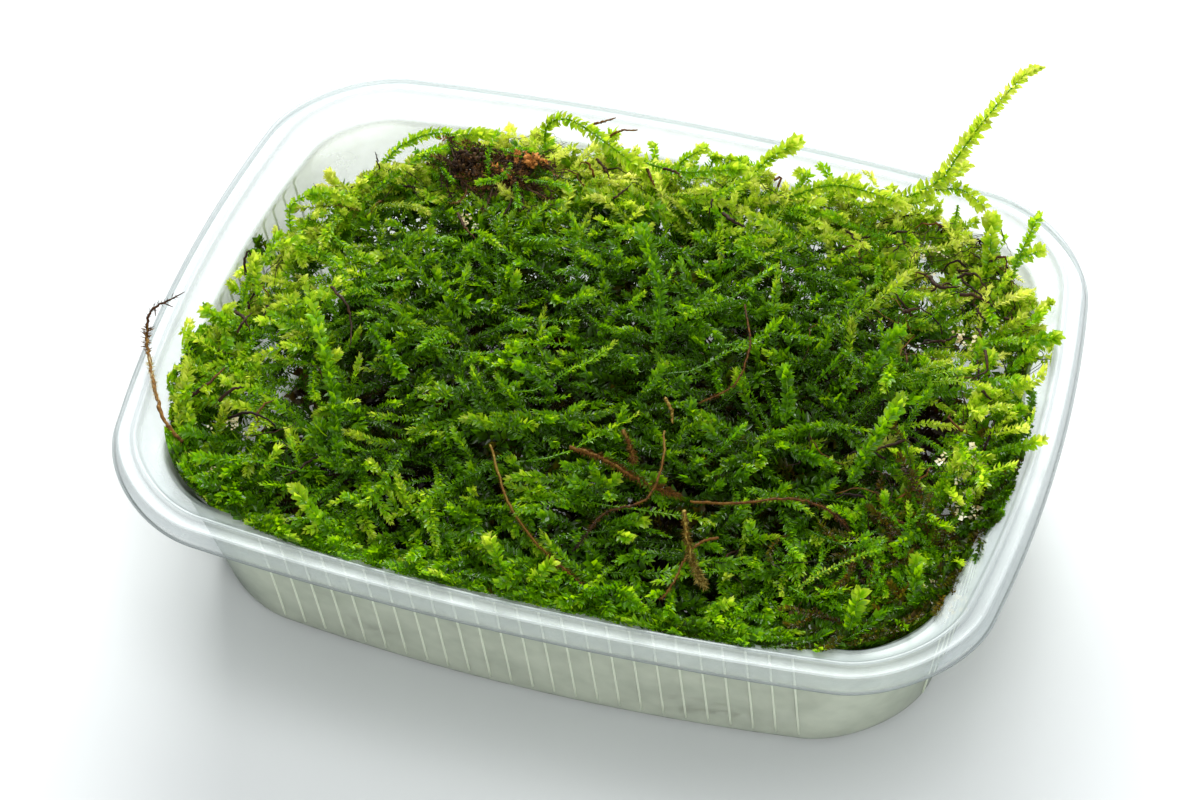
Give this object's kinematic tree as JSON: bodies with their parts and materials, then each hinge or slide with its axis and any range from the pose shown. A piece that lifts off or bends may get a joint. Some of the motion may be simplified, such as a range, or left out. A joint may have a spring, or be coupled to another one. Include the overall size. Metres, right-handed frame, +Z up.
{
  "type": "moss clump",
  "caption": "Clump of loose leafy green moss with bare brown stems, lying in an open translucent plastic tub with rounded corners.",
  "frame": {"origin": "centre of the tub's flat underside", "axes": "+X along the tub's length, +Y across it towards the side where the tall shoot stands out, +Z up"},
  "size_m": [0.1802, 0.1482, 0.0668],
  "materials": {
    "clear_tub": "translucent moulded polypropylene, satin",
    "green_moss": "wet leafy shoots",
    "young_shoot": "wet leafy shoots, light green tips",
    "old_growth": "matted brown old growth",
    "bare_stem": "thin reddish-brown stems and rhizoids",
    "dead_root": "dry brown root with pale fuzz",
    "debris": "dark crumbly litter"
  },
  "bodies": {
    "root": {"debris_clump": "debris", "moss_bed": "old_growth", "moss_mat": "green_moss", "rhizoid_back_high": "bare_stem", "rhizoid_back_low": "bare_stem", "root_dead": "dead_root", "shoot_back_arch": "young_shoot", "shoot_back_curled": "young_shoot", "shoot_back_frond_long": "young_shoot", "shoot_back_frond_short": "young_shoot", "shoot_back_left": "young_shoot", "shoot_back_right_flat": "young_shoot", "shoot_back_right_tall": "young_shoot", "shoot_centre": "young_shoot", "shoot_centre_left": "young_shoot", "shoot_front_corner": "young_shoot", "shoot_front_fork_left": "young_shoot", "shoot_front_fork_right": "young_shoot", "shoot_front_left": "young_shoot", "shoot_front_right": "young_shoot", "shoot_left_arch": "young_shoot", "shoot_left_far": "young_shoot", "shoot_left_rim": "young_shoot", "shoot_left_top": "young_shoot", "shoot_left_upright": "young_shoot", "shoot_light_right": "young_shoot", "shoot_mid_left": "young_shoot", "shoot_mid_right": "young_shoot", "shoot_pale": "young_shoot", "shoot_right_brown_tip": "young_shoot", "shoot_right_fan": "young_shoot", "shoot_right_over_lip": "young_shoot", "shoot_right_small": "young_shoot", "shoot_right_yellow_tip": "young_shoot", "stem_back_red": "bare_stem", "stem_front_long": "bare_stem", "stem_fuzzy": "bare_stem", "stem_orange": "bare_stem", "stem_orange_branch": "bare_stem", "stem_pale": "bare_stem", "stem_purple": "bare_stem", "stem_right_curved": "bare_stem", "stem_twig": "bare_stem", "tub": "clear_tub", "twig_right_dark": "bare_stem", "twig_right_lower": "bare_stem"}
  },
  "joints": []
}
